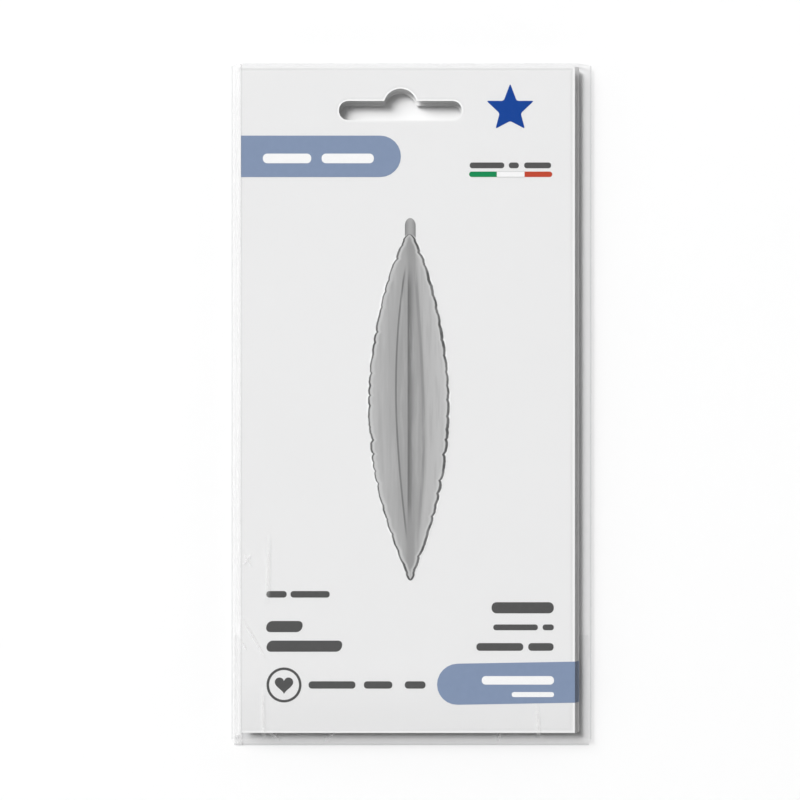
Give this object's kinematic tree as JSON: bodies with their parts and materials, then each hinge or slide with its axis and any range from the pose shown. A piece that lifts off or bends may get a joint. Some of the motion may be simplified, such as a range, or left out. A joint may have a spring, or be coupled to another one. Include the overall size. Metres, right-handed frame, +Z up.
{
  "type": "hanging retail packet with a folded foil balloon",
  "caption": "Flat retail packet: a printed card folder round a folded silver foil balloon, in a clear film sleeve with a hang slot.",
  "frame": {"origin": "bottom centre of the packet as it lies on its back, at the centre of its bounding box in X and Y and on the surface it lies on", "axes": "+X to the right of the printed face, +Y towards the hang slot, +Z up, out of the printed face"},
  "size_m": [0.0944, 0.1786, 0.0044],
  "materials": {
    "clear_film": "gloss",
    "coated_card": "satin",
    "silver_foil": "gloss",
    "adhesive": "matte"
  },
  "bodies": {
    "root": {"film_sleeve": "clear_film", "printed_card": "coated_card", "folded_balloon": "silver_foil", "balloon_neck": "silver_foil", "adhesive_strip": "adhesive"}
  },
  "joints": []
}
